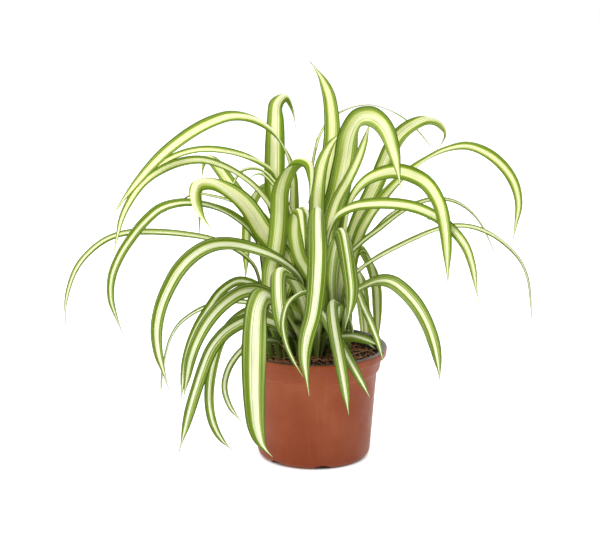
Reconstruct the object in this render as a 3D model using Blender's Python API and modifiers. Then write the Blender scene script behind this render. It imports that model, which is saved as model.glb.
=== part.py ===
"""Spider plant (Chlorophytum comosum, striped form) in a 12 cm nursery pot.

Units are metres, +Z is up, and the origin is the centre of the pot's flat underside.
The pot is a turned shell with drain slots cut through its foot. The potting mix fills it.
Each leaf is one folded strap that grows out of a crown, arches over and hangs.
"""
import math
from dataclasses import dataclass

import bmesh
import bpy
import numpy as np
from mathutils.bvhtree import BVHTree

MM = 0.001
CM = 0.01

# ---- Driving dimensions of the pot ----
POT_HEIGHT = 92 * MM
RIM_RADIUS = 60 * MM
RIM_ROUND = 1.2 * MM          # radius of the rim's rolled edge
RIM_TUCK = 0.4 * MM           # how far the rim's skirt leans in
RIM_UNDERCUT = 0.8 * MM       # height of the slope from the skirt in to the band
RIM_FOOT = POT_HEIGHT - 6 * MM
BAND_TOP_RADIUS = 55.8 * MM   # the smooth band under the rim
BAND_FOOT_RADIUS = 54 * MM
STEP_LEVEL = POT_HEIGHT - 18 * MM
STEP_SLOPE = 1.2 * MM         # height of the slope from the band in to the body
BODY_TOP_RADIUS = 51.8 * MM
BODY_FOOT_RADIUS = 46.4 * MM
FOOT_RADIUS = 42.4 * MM       # where the rounded foot meets the floor
FOOT_ROUND = 4 * MM
FOOT_BULGE = 0.9 * MM         # of the rounded foot beyond a straight bevel
WALL = 1.4 * MM
FLOOR = 2 * MM
FLOOR_CORNER = 0.5 * MM       # how far the inner floor stops short of the foot's radius
INNER_FOOT = FOOT_ROUND + 1 * MM
LIP_CHAMFER = 2.5 * MM        # depth of the slope inside the rim's edge
TURN_STEPS = 48

# ---- Drain slots round the foot ----
SLOT_COUNT = 7
SLOT_START = math.radians(-81)
SLOT_WIDTH = 15 * MM
SLOT_HEIGHT = 3.6 * MM
SLOT_INNER_RADIUS = 37.5 * MM
SLOT_OUTER_RADIUS = 50 * MM

# ---- Potting mix ----
GAP = 0.3 * MM                # between pieces that touch
SOIL_TOP = POT_HEIGHT - 10 * MM
SOIL_CROWN = 2 * MM           # how much lower the mix lies along the wall
SOIL_LEVEL_SHARE = 0.68       # of the rim's radius over which the mix is level

# ---- Leaves ----
LEAF_THICKNESS = 0.7 * MM
STATION_SPACING = 17 * MM
FEWEST_STATIONS = 8
BASE_HALF_WIDTH = 2.6 * MM
TIP_HALF_WIDTH = 1.0 * MM
BASE_FOLD = 52.0              # degrees that each half is folded up at the base
BLADE_FOLD = 14.0             # and along the open blade
BASE_SPACING = 4.4 * MM       # between the bases of neighbouring leaves
BASE_RISE = 0.5 * MM          # of a leaf's foot above the mix
LAUNCH = 9 * MM               # how far a leaf rises straight before it leans out

# ---- Clearance between leaves ----
CLEAR_HALF = 0.95 * MM        # half of the room kept round a blade's middle surface
CLEAR_EDGE = 0.5 * MM         # room kept beyond each margin
EASE_STEP = 0.5 * MM          # how far one sweep eases two leaves apart
EASE_REACH = 25 * MM          # how far along the leaf that easing fades out
EASE_SWEEPS = 500
EASE_PATIENCE = 60            # sweeps before a pair of leaves tries another way apart
FOOT_SLIDE = 0.4              # share of an easing that a leaf's foot takes

# Centres of the four rosettes that make up the clump, in centimetres.
CROWNS = {"left": (-0.7, 1.7), "front": (0.2, 0.8), "right": (2.0, 1.7), "back": (0.5, 2.7)}


@dataclass
class Leaf:
    """A leaf: its crown, its full width in mm, how far it is rolled about its midrib in degrees
    at even shares of its length from base to tip, and the points in centimetres that its midrib
    passes. A leaf whose route sways also has the heading that its blade faces, in degrees from
    +X."""
    crown: str
    width: float
    roll: tuple
    route: list
    heading: float = None


# Leaves run from the oldest, outermost and lowest, to the youngest of each crown.
LEAVES = [
    Leaf("left", 5, (-60, -40), [(-3.5, 2, 11.5), (-7.5, 4, 11.8), (-11.4, 5, 9.5), (-12.8, 6, 5.3),
                                 (-13.1, 6, 2)]),
    Leaf("left", 9, (-90, -40), [(-3.8, -1, 12.2), (-5.4, -2.5, 12.7), (-7.2, -4.5, 11.5),
                                 (-8.2, -6, 8.6), (-8.3, -6.5, 5.9), (-7.7, -6, 3.6), (-6.5, -5, 1.8)]),
    Leaf("left", 6, (-90, -40), [(-3.8, -2.5, 10.4), (-5.5, -4, 10.2), (-6.8, -5, 8.8), (-7.1, -6, 6.8),
                                 (-5.8, -6, 4.6)]),
    Leaf("left", 12, (-100, -50), [(-2.7, -3, 11.7), (-5.1, -5, 12.8), (-7.7, -8, 11.8), (-9.2, -10, 8.5),
                                   (-10.5, -10.5, 3.6)]),
    Leaf("left", 12, (-100, -50), [(-3.1, -2, 13.6), (-5.3, -4, 14.9), (-7.8, -7, 13.9), (-9.4, -9, 11.4),
                                   (-10.2, -9, 7.4)]),
    Leaf("left", 8, (-90, -60), [(-3.6, -1, 13.7), (-6.4, -1, 14.8), (-8.6, -2, 12.7), (-10.1, -3, 9.7),
                                 (-10.8, -3, 5.2)]),
    Leaf("left", 6.5, (-20, -60), [(-3.8, -1, 15.4), (-7.4, -1, 18), (-13.6, -1, 18.9), (-16.3, -2, 18.7),
                                   (-18.7, -2.5, 16.7), (-19.8, -3, 13.8), (-19.9, -3, 11.6)]),
    Leaf("left", 12.5, (-105, -50, -50, -55, -50),
         [(-2.7, -2, 16.1), (-7.3, -4, 18.6), (-10.1, -6, 17.6), (-12, -8, 14.3), (-12.2, -8.5, 11.7),
          (-11.3, -8.5, 7.9)]),
    Leaf("left", 9, (-90, -90, -30, -60, -55),
         [(-3.4, -1, 16.8), (-5.5, -2, 19.8), (-9, -4, 21.9), (-12, -5, 21.7), (-15.3, -7, 17.9),
          (-15.8, -7.5, 15.4), (-14.9, -7, 11.9)]),
    Leaf("left", 3.5, (-60, -30), [(-2.8, 2, 17.6), (-6.1, 3, 20.3), (-8.1, 3, 21), (-9.8, 3.5, 21.1),
                                   (-12.5, 3, 19.5)]),
    Leaf("left", 18, (-120, -118, -110, -40, -15),
         [(-3.1, -1, 16.9), (-4.2, -1.5, 19.1), (-5.5, -3, 21.5), (-7, -4, 23), (-8.6, -5, 24),
          (-9.4, -6, 23.5), (-9.2, -6, 21.9), (-7.7, -5.5, 19.9)]),
    Leaf("left", 12, (-60, -30), [(-3.6, 3, 17.5), (-6.1, 5, 20.5), (-9.1, 8, 23.6), (-9.5, 10, 19.9),
                                  (-9.9, 11, 15.1)]),
    Leaf("left", 8.5, (-90, -80, -30, -60, -55),
         [(-2.4, 0, 18), (-4.2, 0, 21.7), (-6.6, 0, 23.7), (-9.5, -1, 24.8), (-13, -2, 23.6),
          (-15, -3, 21), (-15.9, -4, 17.5)]),
    Leaf("left", 7, (-70, -65, -20, -60, -50),
         [(-1.8, 1, 19.5), (-2.8, 1, 23), (-5.6, 2, 24.5), (-8.9, 3, 24.9), (-11.3, 4, 24.2),
          (-13.3, 4.5, 22.9), (-15, 5, 21.3), (-16.6, 5, 19)]),
    Leaf("left", 4, (-60, -40), [(-2.3, 2, 17.8), (-3.1, 3, 20.4), (-4.1, 3.5, 22.4), (-5, 4, 22.6),
                                 (-5.8, 4, 21.9)]),
    Leaf("left", 4, (-60, -40), [(-1.8, 0.6, 18), (-3.4, 0.8, 22.8), (-4.8, 1.5, 23.9), (-6.1, 2, 23.2),
                                 (-6.7, 2.5, 21.6), (-6.9, 2.5, 20.6)]),
    Leaf("left", 12.5, (-102, -100, -20, -50, -45),
         [(-1.5, 0.5, 17.2), (-2, 1, 24.2), (-3.6, 0.5, 27.2), (-5.9, 0, 28.2), (-8.6, -1, 27.6),
          (-11.8, -2.5, 25.6), (-14.5, -4, 22.8), (-16, -5, 20.9)]),
    Leaf("left", 18, (0, 0, 0, 20, 60),
         [(-2.6, 0.5, 13.7), (-2.9, 1.5, 18.5), (-3.1, 3, 22.3), (-3.2, 5, 26), (-3, 7, 28.2),
          (-2.4, 8, 28.7), (-1.9, 8.5, 28.1), (-1.5, 9, 25.5)], heading=80),

    Leaf("front", 11, (60, 50), [(1.7, -2, 11), (3.5, -3, 11.2), (5.2, -4, 10.4)]),
    Leaf("front", 10, (30, 10), [(0.4, -4, 13.3), (1.4, -5.5, 12), (2.8, -7, 9.8), (4.4, -7.5, 7)]),
    Leaf("front", 5.5, (0, -20), [(0.4, -4, 14.5), (-0.5, -6, 15.3), (-1.8, -7.5, 15.2), (-2.5, -8, 13.5),
                                (-2.1, -8.5, 11.3), (-0.8, -9, 9.1)]),
    Leaf("front", 21, (-20, -65, -40, -24, -24, -30),
         [(-2.3, -3, 12.7), (-3.9, -6, 15.1), (-4.5, -8.5, 12.7), (-4.7, -9.5, 8.3), (-4.3, -9.5, 4.3),
          (-3.2, -9, 2.6)]),
    Leaf("front", 17, (-10, -10), [(-1.3, -3, 14.6), (-2.7, -6, 17.3), (-2.9, -7.5, 15), (-2.6, -8, 12.7),
                                   (-1.9, -8, 11)]),
    Leaf("front", 12, (10, 0), [(2, -3, 12.9), (1.4, -5, 14.1), (1.6, -7, 12.2), (2.1, -8, 9.5),
                                (2.7, -8, 5.7)]),
    Leaf("front", 13, (0, 0), [(-1.4, -2, 16.9), (-1.5, -3, 19.9), (-0.9, -5, 22), (-0.7, -6.5, 18.7)]),
    Leaf("front", 16, (-40, -40, -40, -20, 40), [(-2.4, -1, 14.1), (-2.8, -1.5, 17.6), (-2.9, -1.5, 20.6),
                                  (-2.5, -2, 23.4), (-1.2, -3, 25.4), (-0.2, -4, 25), (-0.5, -4.5, 22)],
         heading=-50),
    Leaf("front", 17, (10, 0), [(1.2, -2, 15.6), (1.6, -3, 18.2), (2.1, -5, 20.3), (2.6, -7.5, 18),
                                (2.8, -8, 15.1), (2.3, -8, 12.7)]),
    Leaf("front", 17, (0, 0), [(0.1, -2.5, 16), (0, -4, 19.5), (-0.1, -6, 22.1), (0.2, -9, 19.3),
                               (-0.1, -10, 14.9), (-0.8, -10, 11.7), (-0.4, -10, 7.8)]),

    Leaf("right", 4, (0, 0), [(3, -2, 10.4), (4, -3, 10.1), (5, -4, 9.8)]),
    Leaf("right", 8.5, (90, 30), [(2.2, -3, 13.8), (3.1, -4, 14.9), (4, -6, 13.6), (4.8, -7, 12),
                                  (5.4, -7, 9.8)]),
    Leaf("right", 13, (110, 50, 40, 50, 50, 50),
         [(2.5, -2, 13.4), (4.4, -3, 15.1), (6.1, -5, 15.8), (8.2, -7, 14.1), (9.4, -8, 11.3),
          (9.8, -8, 8.4)]),
    Leaf("right", 11, (50, -40), [(2.6, 3, 14.8), (4, 5, 16.5), (5.1, 6, 13.6), (5.5, 6, 7.5)]),
    Leaf("right", 6, (40, 20), [(2.5, 0, 14.3), (6.9, 0, 17.5), (11.4, 0, 19.2), (14.1, -1, 18.8),
                                (16.7, -1.5, 16.4), (17.7, -2, 10.6)]),
    Leaf("right", 5, (60, 30), [(3, 1.5, 16.5), (4.8, 2.5, 18), (6.4, 3, 19.5), (7.8, 3.5, 20),
                                (9.2, 3.5, 19.3), (10, 3.5, 18.4)]),
    Leaf("right", 5, (60, 30), [(2.9, 1, 16.1), (5.4, 2, 18.6), (8.7, 3, 20.5), (11.2, 3, 20.7),
                                (13.2, 2.5, 19.5), (15.2, 2, 15.6)]),
    Leaf("right", 10, (100, 110, 60, 70, 55, 50),
         [(1, -1.5, 17.7), (2, -3, 21), (5.5, -4, 21.9), (9, -5, 21.4), (11.7, -6, 19),
          (12.9, -6, 14.2)]),
    Leaf("right", 11, (90, 90, 50, 5, 85, 100),
         [(3.3, 1, 17.4), (5.4, 2, 20.7), (9, 2, 24.2), (12.2, 2, 25.4), (15, 1.5, 24.1),
          (16.5, 1, 21.5), (16, 0, 17.6)]),
    Leaf("right", 14.5, (50, 45), [(3.1, 3, 17.3), (5.1, 5, 21.6), (7.2, 8, 25.2), (10, 10, 26.3),
                                 (11.5, 11, 25), (10.5, 11, 23.2)]),
    Leaf("right", 14, (115, 110, 55, 60, 50, 50),
         [(2.4, -0.5, 20.6), (3.2, -0.5, 22.2), (4.4, -1, 23.3), (6.3, -1.8, 24), (7.8, -2.5, 23.8),
          (9, -4, 23.2), (9.8, -5, 21.8), (10.2, -6, 19.6), (10.4, -6.5, 15.6)]),
    Leaf("right", 10, (50, 50), [(1.9, 1, 19.9), (3, 2, 22.6), (3.9, 3, 25.4), (4.5, 3.5, 27.2)]),
    Leaf("right", 20, (125, 122, 120, 119, 118, 60, 57, 56),
         [(1.1, 1, 18.4), (1.9, 1.5, 21.6), (2.6, 1.8, 24.6), (3.2, 1.5, 26.8), (3.9, 0.5, 27.9),
          (4.8, -1.5, 28.2), (5.6, -3.5, 27.6), (6.3, -5, 25.5), (6.7, -5.5, 23.1)],
         heading=-35),

    Leaf("back", 12, (-20, 30), [(-2.6, 5, 19), (-3.9, 8, 21.2), (-5.4, 10.5, 18.6), (-5.9, 11, 11.5)]),
    Leaf("back", 3, (0, 0), [(-0.1, 4, 23.4), (1.4, 7, 26.7), (4.3, 8, 27.8), (7.8, 10, 26.2),
                             (10.6, 11, 23.1)]),
    Leaf("back", 3.5, (0, 0), [(-0.3, 2.5, 18), (-0.2, 3, 23), (0.3, 3.6, 26.2)]),
    Leaf("back", 14, (0, 0), [(0.3, 1, 19.5), (0.4, 1.8, 21.9), (0.7, 2.5, 23.8), (1.4, 3, 25.3),
                              (2.6, 3.5, 26.5)],
         heading=75),
    Leaf("back", 16, (0, 0), [(0.9, 4, 20.5), (1.4, 5, 24), (1.5, 6.2, 27), (1, 7.2, 29.5),
                              (-0.3, 8, 31.4)],
         heading=85),
]

# The far side repeats one arch round the crown: heading in degrees, reach and top in centimetres.
FAR_ARCHES = [(70, 12, 14), (93, 14, 15), (113, 12, 14), (58, 8, 15), (128, 8, 15), (82, 14, 18),
              (103, 13, 19)]
FAR_WIDTH = 11


def collection(name):
    """A new collection of the scene."""
    made = bpy.data.collections.new(name)
    bpy.context.scene.collection.children.link(made)
    return made


def material(name, colour, roughness):
    """A plain Principled material."""
    made = bpy.data.materials.new(name)
    made.use_nodes = True
    surface = made.node_tree.nodes["Principled BSDF"]
    surface.inputs["Base Color"].default_value = (*colour, 1.0)
    surface.inputs["Roughness"].default_value = roughness
    surface.inputs["Metallic"].default_value = 0.0
    return made


def turned(name, profile, slot, home):
    """A turned solid from a closed (radius, height) profile that runs down its outer side."""
    mesh = bpy.data.meshes.new(name)
    edges = [(index, index + 1) for index in range(len(profile) - 1)]
    mesh.from_pydata([(radius, 0, height) for radius, height in profile], edges, [])
    made = bpy.data.objects.new(name, mesh)
    home.objects.link(made)
    screw = made.modifiers.new("turn", "SCREW")
    screw.axis = "Z"
    screw.steps = TURN_STEPS
    screw.render_steps = TURN_STEPS
    screw.use_merge_vertices = True
    screw.merge_threshold = 0.00001
    screw.use_smooth_shade = True
    mesh.materials.append(slot)
    return made


def arc(centre, radius, start, end, steps):
    """Points of an arc in the (radius, height) plane, angles in degrees."""
    turns = [math.radians(start + (end - start) * step / steps) for step in range(steps + 1)]
    return [(centre[0] + radius * math.cos(turn), centre[1] + radius * math.sin(turn)) for turn in turns]


def build_pot(home, cutters, slot):
    """The nursery pot: rolled rim, band, step, tapered body, rounded foot and drain slots."""
    outside = arc((RIM_RADIUS - RIM_ROUND, POT_HEIGHT - RIM_ROUND), RIM_ROUND, 90, 0, 3)
    outside += [
        (RIM_RADIUS - RIM_TUCK, RIM_FOOT),
        (BAND_TOP_RADIUS, RIM_FOOT - RIM_UNDERCUT),
        (BAND_FOOT_RADIUS, STEP_LEVEL),
        (BODY_TOP_RADIUS, STEP_LEVEL - STEP_SLOPE),
        (BODY_FOOT_RADIUS, FOOT_ROUND),
        ((BODY_FOOT_RADIUS + FOOT_RADIUS) / 2 + FOOT_BULGE, FOOT_ROUND * 0.3),
        (FOOT_RADIUS, 0),
        (0, 0),
    ]
    inside = [
        (0, FLOOR),
        (FOOT_RADIUS - FLOOR_CORNER, FLOOR),
        (BODY_FOOT_RADIUS - WALL, INNER_FOOT),
        (BODY_TOP_RADIUS - WALL, STEP_LEVEL),
        (BAND_TOP_RADIUS - WALL, POT_HEIGHT - LIP_CHAMFER),
        (BAND_TOP_RADIUS - WALL / 2, POT_HEIGHT),
    ]
    pot = turned("pot", outside + inside + outside[:1], slot, home)
    for index in range(SLOT_COUNT):
        heading = SLOT_START + 2 * math.pi * index / SLOT_COUNT
        middle = (SLOT_INNER_RADIUS + SLOT_OUTER_RADIUS) / 2
        bpy.ops.mesh.primitive_cylinder_add(vertices=20, radius=SLOT_WIDTH / 2,
                                            depth=SLOT_OUTER_RADIUS - SLOT_INNER_RADIUS)
        cutter = bpy.context.object
        cutter.name = "slot_cutter_%d" % (index + 1)
        cutter.scale = (SLOT_HEIGHT / (SLOT_WIDTH / 2), 1, 1)
        cutter.rotation_euler = (0, math.pi / 2, heading)
        cutter.location = (middle * math.cos(heading), middle * math.sin(heading), 0)
        cutter.hide_render = True
        cutter.display_type = "WIRE"
        for owner in list(cutter.users_collection):
            owner.objects.unlink(cutter)
        cutters.objects.link(cutter)
        cut = pot.modifiers.new("slot_%d" % (index + 1), "BOOLEAN")
        cut.operation = "DIFFERENCE"
        cut.solver = "EXACT"
        cut.object = cutter


def wall_radius(height):
    """The pot's inner radius at a height."""
    if height <= STEP_LEVEL:
        share = (height - INNER_FOOT) / (STEP_LEVEL - INNER_FOOT)
        return BODY_FOOT_RADIUS - WALL + share * (BODY_TOP_RADIUS - BODY_FOOT_RADIUS)
    share = (height - STEP_LEVEL) / (POT_HEIGHT - LIP_CHAMFER - STEP_LEVEL)
    return BODY_TOP_RADIUS - WALL + share * (BAND_TOP_RADIUS - BODY_TOP_RADIUS)


def build_potting_mix(home, slot):
    """The mix that fills the pot, slightly mounded round the crowns."""
    profile = [
        (0, SOIL_TOP),
        (SOIL_LEVEL_SHARE * RIM_RADIUS, SOIL_TOP),
        (wall_radius(SOIL_TOP) - 2 * GAP, SOIL_TOP - SOIL_CROWN),
        (wall_radius(STEP_LEVEL) - 2 * GAP, STEP_LEVEL),
        (wall_radius(INNER_FOOT) - 2 * GAP, INNER_FOOT + GAP),
        (FOOT_RADIUS - 4 * GAP, FLOOR + GAP),
        (0, FLOOR + GAP),
    ]
    turned("potting_mix", profile, slot, home)


def unit(vectors):
    """Vectors scaled to length one."""
    return vectors / np.linalg.norm(vectors, axis=-1, keepdims=True)


def smooth_curve(points, per_span=12):
    """A centripetal Catmull-Rom curve through the points."""
    ends = np.vstack([2 * points[0] - points[1], points, 2 * points[-1] - points[-2]])
    curve = [points[0]]
    for a, b, c, d in zip(ends, ends[1:], ends[2:], ends[3:]):
        gaps = [max(np.linalg.norm(q - p), 1e-6) for p, q in ((a, b), (b, c), (c, d))]
        knots = np.cumsum([0.0] + [gap ** 0.5 for gap in gaps])
        for t in np.linspace(knots[1], knots[2], per_span + 1)[1:]:
            ab = a + (b - a) * (t - knots[0]) / (knots[1] - knots[0])
            bc = b + (c - b) * (t - knots[1]) / (knots[2] - knots[1])
            cd = c + (d - c) * (t - knots[2]) / (knots[3] - knots[2])
            abc = ab + (bc - ab) * (t - knots[0]) / (knots[2] - knots[0])
            bcd = bc + (cd - bc) * (t - knots[1]) / (knots[3] - knots[1])
            curve.append(abc + (bcd - abc) * (t - knots[1]) / (knots[2] - knots[1]))
    return np.array(curve)


def even_stations(curve):
    """The curve resampled to evenly spaced stations."""
    along = np.concatenate([[0], np.cumsum(np.linalg.norm(np.diff(curve, axis=0), axis=1))])
    count = max(FEWEST_STATIONS, math.ceil(along[-1] / STATION_SPACING) + 1)
    wanted = np.linspace(0, along[-1], count)
    return np.stack([np.interp(wanted, along, curve[:, axis]) for axis in range(3)], axis=1)


def arch_route(crown, heading, reach, top):
    """A plain arch: up and out of the crown, over the top and down, in centimetres."""
    turn = math.radians(heading)
    shape = [(0.18, 0.9), (0.42, 1.0), (0.72, 0.9), (0.93, 0.62), (1.0, 0.3)]
    return [(crown[0] + reach * out * math.cos(turn), crown[1] + reach * out * math.sin(turn), top * up)
            for out, up in shape]


class Blade:
    """A leaf laid out in space: the stations of its midrib and the frame at each of them."""

    def __init__(self, leaf, foot):
        self.leaf = leaf
        rise = foot + np.array([0, 0, LAUNCH])
        route = [foot, rise] + [np.array(point) * CM for point in leaf.route]
        self.stations = even_stations(smooth_curve(np.array(route)))
        self.count = len(self.stations)
        self.share = np.linspace(0, 1, self.count)
        self.length = np.linalg.norm(np.diff(self.stations, axis=0), axis=1).sum()
        out = self.stations[self.count // 2] - foot + 0.5 * (self.stations[-1] - foot)
        if leaf.heading is not None:
            turn = math.radians(leaf.heading)
            out = np.array([math.cos(turn), math.sin(turn), 0])
        out[2] = 0
        self.heading = unit(out)

    def half_widths(self):
        """Half widths: narrow at the base, widest before the middle, drawn out to a fine tip."""
        full = self.leaf.width * MM / 2
        swell = np.interp(self.share, [0, 0.12, 0.4, 0.65, 0.85, 1], [0, 0.6, 1, 0.96, 0.7, 0])
        base = min(BASE_HALF_WIDTH, full)
        return np.where(self.share < 0.4, base + (full - base) * swell,
                        TIP_HALF_WIDTH + (full - TIP_HALF_WIDTH) * swell)

    def frame(self):
        """Unit vectors along the midrib, across the blade and out of its upper face."""
        along = unit(np.gradient(self.stations, axis=0))
        across = np.cross([0, 0, 1], self.heading)
        across = unit(across - (along @ across)[:, None] * along)
        face = np.cross(along, across)
        turn = np.radians(np.interp(self.share, np.linspace(0, 1, len(self.leaf.roll)), self.leaf.roll))
        turn *= np.clip(self.share * 5, 0, 1)
        cosine, sine = np.cos(turn)[:, None], np.sin(turn)[:, None]
        return along, across * cosine + face * sine, face * cosine - across * sine

    def rails(self, edge=0.0):
        """The left margin, the midrib and the right margin, each a row of points."""
        _, across, face = self.frame()
        fold = np.radians(BLADE_FOLD + (BASE_FOLD - BLADE_FOLD) * np.exp(-self.share * 7))
        half = self.half_widths() + edge
        wide = (half * np.cos(fold))[:, None] * across
        lift = (half * np.sin(fold))[:, None] * face
        left, right = self.stations - wide + lift, self.stations + wide + lift
        middle = self.stations.copy()
        for rail in (left, middle, right):
            rail[0, 2] = self.stations[0, 2]
        return np.stack([left, middle, right])

    def room(self):
        """A closed shell round the blade that no other leaf may enter."""
        rails = self.rails(CLEAR_EDGE)
        _, _, face = self.frame()
        upper, lower = rails + CLEAR_HALF * face, rails - CLEAR_HALF * face
        loop = [upper[0], upper[1], upper[2], lower[2], lower[1], lower[0]]
        points = np.stack(loop, axis=1).reshape(-1, 3)
        faces = []
        for row in range(self.count - 1):
            for side in range(6):
                a, b = row * 6 + side, row * 6 + (side + 1) % 6
                faces.append((a, b, b + 6, a + 6))
        return points, faces

    def ease(self, station, push):
        """Move the midrib by a push that fades out along the leaf; the foot slides on the mix."""
        spacing = self.length / (self.count - 1)
        index = np.arange(self.count)
        fade = np.exp(-((index - station) * spacing / EASE_REACH) ** 2)
        fade *= np.clip(FOOT_SLIDE + index / 3, 0, 1)
        moved = fade[:, None] * push
        moved[0, 2] = 0
        self.stations += moved


def seat_leaves(leaves):
    """Stand the leaves on their crowns: the youngest in the middle, older ones round them."""
    blades = [None] * len(leaves)
    taken = []
    for crown, centre in CROWNS.items():
        for index in reversed([n for n, leaf in enumerate(leaves) if leaf.crown == crown]):
            first = np.array(leaves[index].route[0][:2]) - centre
            toward = first / max(np.linalg.norm(first), 1e-6)
            spread, place = 0.0, np.array(centre) * CM
            while any(np.linalg.norm(place - other) < BASE_SPACING for other in taken):
                spread += 0.5 * MM
                place = np.array(centre) * CM + spread * toward
            taken.append(place)
            blades[index] = Blade(leaves[index], np.array([*place, SOIL_TOP + BASE_RISE]))
    return blades


def clear_of_pot(blade):
    """Lift a leaf off the rim and the mix, and off the ground under the pot."""
    moved = False
    rails = blade.rails(CLEAR_EDGE)
    for station in range(2, blade.count):
        points = rails[:, station]
        radius = np.linalg.norm(points[:, :2], axis=1)
        over_rim = (radius < RIM_RADIUS + 2 * MM) & (points[:, 2] < POT_HEIGHT + 2 * MM)
        if over_rim.any() or points[:, 2].min() < 2 * MM:
            blade.ease(station, np.array([0, 0, 1 * MM]))
            moved = True
    return moved


def meeting_runs(hits):
    """Split pairs of stations that touch into runs along the first leaf."""
    runs = []
    for hit in sorted(hits):
        if runs and hit[0] - runs[-1][-1][0] <= 2:
            runs[-1].append(hit)
        else:
            runs.append([hit])
    return [np.array(run) for run in runs]


def way_apart(first, second, run):
    """The direction that frees the second leaf from the first where they meet."""
    along_first, _, face_first = first.frame()
    along_second, _, _ = second.frame()
    here, there = first.stations[run[:, 0]].mean(axis=0), second.stations[run[:, 1]].mean(axis=0)
    apart = np.cross(along_first[run[:, 0]].mean(axis=0), along_second[run[:, 1]].mean(axis=0))
    if np.linalg.norm(apart) < 0.5:
        apart = face_first[run[:, 0]].mean(axis=0)
    apart = unit(apart)
    return apart if (there - here) @ apart >= 0 else -apart


def ease_apart(blades):
    """Ease leaves that would touch away from each other until every blade has its room."""
    decided = {}
    for sweep in range(EASE_SWEEPS):
        busy = any([clear_of_pot(blade) for blade in blades])
        rooms = [blade.room() for blade in blades]
        trees = [BVHTree.FromPolygons(points.tolist(), faces) for points, faces in rooms]
        lows = np.array([points.min(axis=0) for points, _ in rooms])
        highs = np.array([points.max(axis=0) for points, _ in rooms])
        meetings = []
        for one in range(len(blades)):
            for other in range(one + 1, len(blades)):
                if (lows[one] > highs[other]).any() or (lows[other] > highs[one]).any():
                    continue
                hits = {(a // 6, b // 6) for a, b in trees[one].overlap(trees[other])}
                meetings += [(one, other, run) for run in meeting_runs(hits)]
        if not meetings and not busy:
            break
        for one, other, run in meetings:
            middle = run.mean(axis=0) + 0.5
            ways = decided.setdefault((one, other), [])
            known = [entry for entry in ways if abs(entry["place"] - middle[0]) < 4]
            if not known:
                known = [{"place": middle[0], "tries": 0}]
                ways += known
            entry = known[0]
            if entry["tries"] % EASE_PATIENCE == 0:
                entry["way"] = way_apart(blades[one], blades[other], run)
            entry["tries"] += 1
            blades[one].ease(middle[0], -EASE_STEP / 2 * entry["way"])
            blades[other].ease(middle[1], EASE_STEP / 2 * entry["way"])
    print("leaves eased apart in", sweep, "sweeps, places where two still touch:", len(meetings))


def build_leaf(name, blade, slot, home):
    """The leaf's solid: a strip of three rails, thickened about its middle surface."""
    rails = blade.rails()
    shape = bmesh.new()
    bmesh.ops.create_grid(shape, x_segments=2, y_segments=blade.count - 1, size=1)
    shape.verts.ensure_lookup_table()
    for vertex in shape.verts:
        rail = round(vertex.co.x) + 1
        station = round((vertex.co.y + 1) / 2 * (blade.count - 1))
        vertex.co = rails[rail, station]
    mesh = bpy.data.meshes.new(name)
    shape.to_mesh(mesh)
    shape.free()
    mesh.materials.append(slot)
    mesh.shade_smooth()
    made = bpy.data.objects.new(name, mesh)
    home.objects.link(made)
    thick = made.modifiers.new("thickness", "SOLIDIFY")
    thick.thickness = LEAF_THICKNESS
    thick.offset = 0


def main():
    for old in list(bpy.data.objects):
        bpy.data.objects.remove(old)
    home = collection("potted_spider_plant")
    cutters = collection("cutters")
    build_pot(home, cutters, material("pot_plastic", (0.42, 0.12, 0.055), 0.45))
    build_potting_mix(home, material("potting_mix", (0.035, 0.022, 0.014), 0.95))
    green = material("leaf_blade", (0.36, 0.50, 0.13), 0.42)
    leaves = list(LEAVES)
    for heading, reach, top in FAR_ARCHES:
        route = arch_route(CROWNS["back"], heading, reach, top)
        leaves.insert(0, Leaf("back", FAR_WIDTH, (0, 0), route))
    blades = seat_leaves(leaves)
    ease_apart(blades)
    counts = {}
    for blade in blades:
        crown = blade.leaf.crown
        counts[crown] = counts.get(crown, 0) + 1
        build_leaf("leaf_%s_%02d" % (crown, counts[crown]), blade, green, home)


main()
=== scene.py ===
# %% [markdown]
# # A striped spider plant in its nursery pot
#
# The plant is a clump of about fifty arching leaves that stand in potting mix, in a thin-walled
# moulded pot. The imported model is the fixed frame: it says where each leaf runs and how big the
# pot is. Each piece of the frame gets a finished piece that takes its place here, and the frame's
# own pieces stay in the scene, hidden.

import math
from itertools import combinations

import bmesh
import bpy
import numpy as np
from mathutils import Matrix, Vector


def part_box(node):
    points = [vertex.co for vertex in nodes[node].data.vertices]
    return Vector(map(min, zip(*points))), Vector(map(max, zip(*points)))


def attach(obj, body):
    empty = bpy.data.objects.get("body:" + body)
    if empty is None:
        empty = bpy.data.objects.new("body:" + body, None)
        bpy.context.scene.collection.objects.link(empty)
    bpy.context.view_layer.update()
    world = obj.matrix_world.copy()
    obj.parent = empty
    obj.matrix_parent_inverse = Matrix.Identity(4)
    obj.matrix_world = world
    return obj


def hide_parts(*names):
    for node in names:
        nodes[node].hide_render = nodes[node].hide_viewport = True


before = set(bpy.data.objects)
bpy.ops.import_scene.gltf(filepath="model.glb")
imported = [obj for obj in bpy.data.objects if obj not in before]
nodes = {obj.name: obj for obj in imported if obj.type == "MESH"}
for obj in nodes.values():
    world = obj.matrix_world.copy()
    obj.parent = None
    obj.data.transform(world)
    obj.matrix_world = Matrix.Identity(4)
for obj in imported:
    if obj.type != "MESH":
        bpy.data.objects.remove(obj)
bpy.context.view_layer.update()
leaf_names = sorted(name for name in nodes if name.startswith("leaf_"))
MM = 0.001

# %% [markdown]
# ## The camera
#
# A long lens from a little above the leaves keeps the pot's sides nearly parallel. It is placed
# by what it aims at, how far off it stands and how high it looks down from, because those are
# the numbers that a person behind a camera would change.

# %% Place the camera
VIEW_DOWN = math.radians(13.8)
VIEW_DISTANCE = 1.60
VIEW_AIM = (-0.0114, 0.0, 0.1575)
LENS_MM = 118.38

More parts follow.
